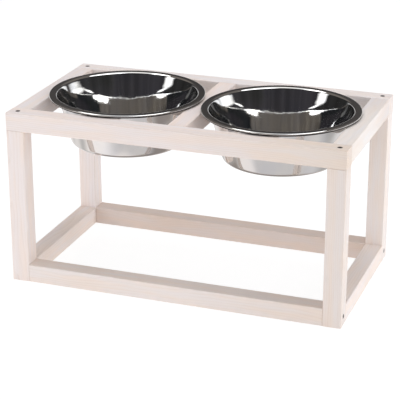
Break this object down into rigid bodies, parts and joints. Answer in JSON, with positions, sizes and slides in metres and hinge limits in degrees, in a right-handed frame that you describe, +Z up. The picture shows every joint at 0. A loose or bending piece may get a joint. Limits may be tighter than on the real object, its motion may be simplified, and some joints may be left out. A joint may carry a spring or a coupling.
{
  "type": "elevated dog feeder",
  "caption": "Open wooden frame that holds lift-out stainless steel bowls at a raised height for a dog, with free space under them for storage.",
  "frame": {"origin": "middle of the frame's footprint, on the floor", "axes": "+X along the length to the right, +Y from the front to the back, +Z up"},
  "size_m": [0.56, 0.306, 0.2959],
  "materials": {
    "washed_wood": "pale whitewash, matt",
    "polished_steel": "mirror polished stainless steel",
    "screw_steel": "dark zinc plated",
    "dowel_wood": "plain beech"
  },
  "bodies": {
    "frame": {"top_front_rail": "washed_wood", "top_back_rail": "washed_wood", "top_left_rail": "washed_wood", "top_center_rail": "washed_wood", "top_right_rail": "washed_wood", "lower_front_rail": "washed_wood", "lower_back_rail": "washed_wood", "lower_left_rail": "washed_wood", "lower_right_rail": "washed_wood", "front_left_leg": "washed_wood", "front_right_leg": "washed_wood", "back_left_leg": "washed_wood", "back_right_leg": "washed_wood", "front_left_top_screw": "screw_steel", "front_left_side_screw": "screw_steel", "front_right_top_screw": "screw_steel", "front_right_side_screw": "screw_steel", "back_left_top_screw": "screw_steel", "back_left_side_screw": "screw_steel", "back_right_top_screw": "screw_steel", "back_right_side_screw": "screw_steel", "top_left_rail_dowels": "dowel_wood", "top_center_rail_dowels": "dowel_wood", "top_right_rail_dowels": "dowel_wood", "lower_left_rail_dowels": "dowel_wood", "lower_right_rail_dowels": "dowel_wood"},
    "left_bowl": {"left_bowl": "polished_steel"},
    "right_bowl": {"right_bowl": "polished_steel"}
  },
  "joints": [
    {"name": "left_bowl_lift", "type": "slide", "parent": "frame", "child": "left_bowl", "axis": [0, 0, 1], "range_m": [0, 0.11]},
    {"name": "right_bowl_lift", "type": "slide", "parent": "frame", "child": "right_bowl", "axis": [0, 0, 1], "range_m": [0, 0.11]}
  ]
}
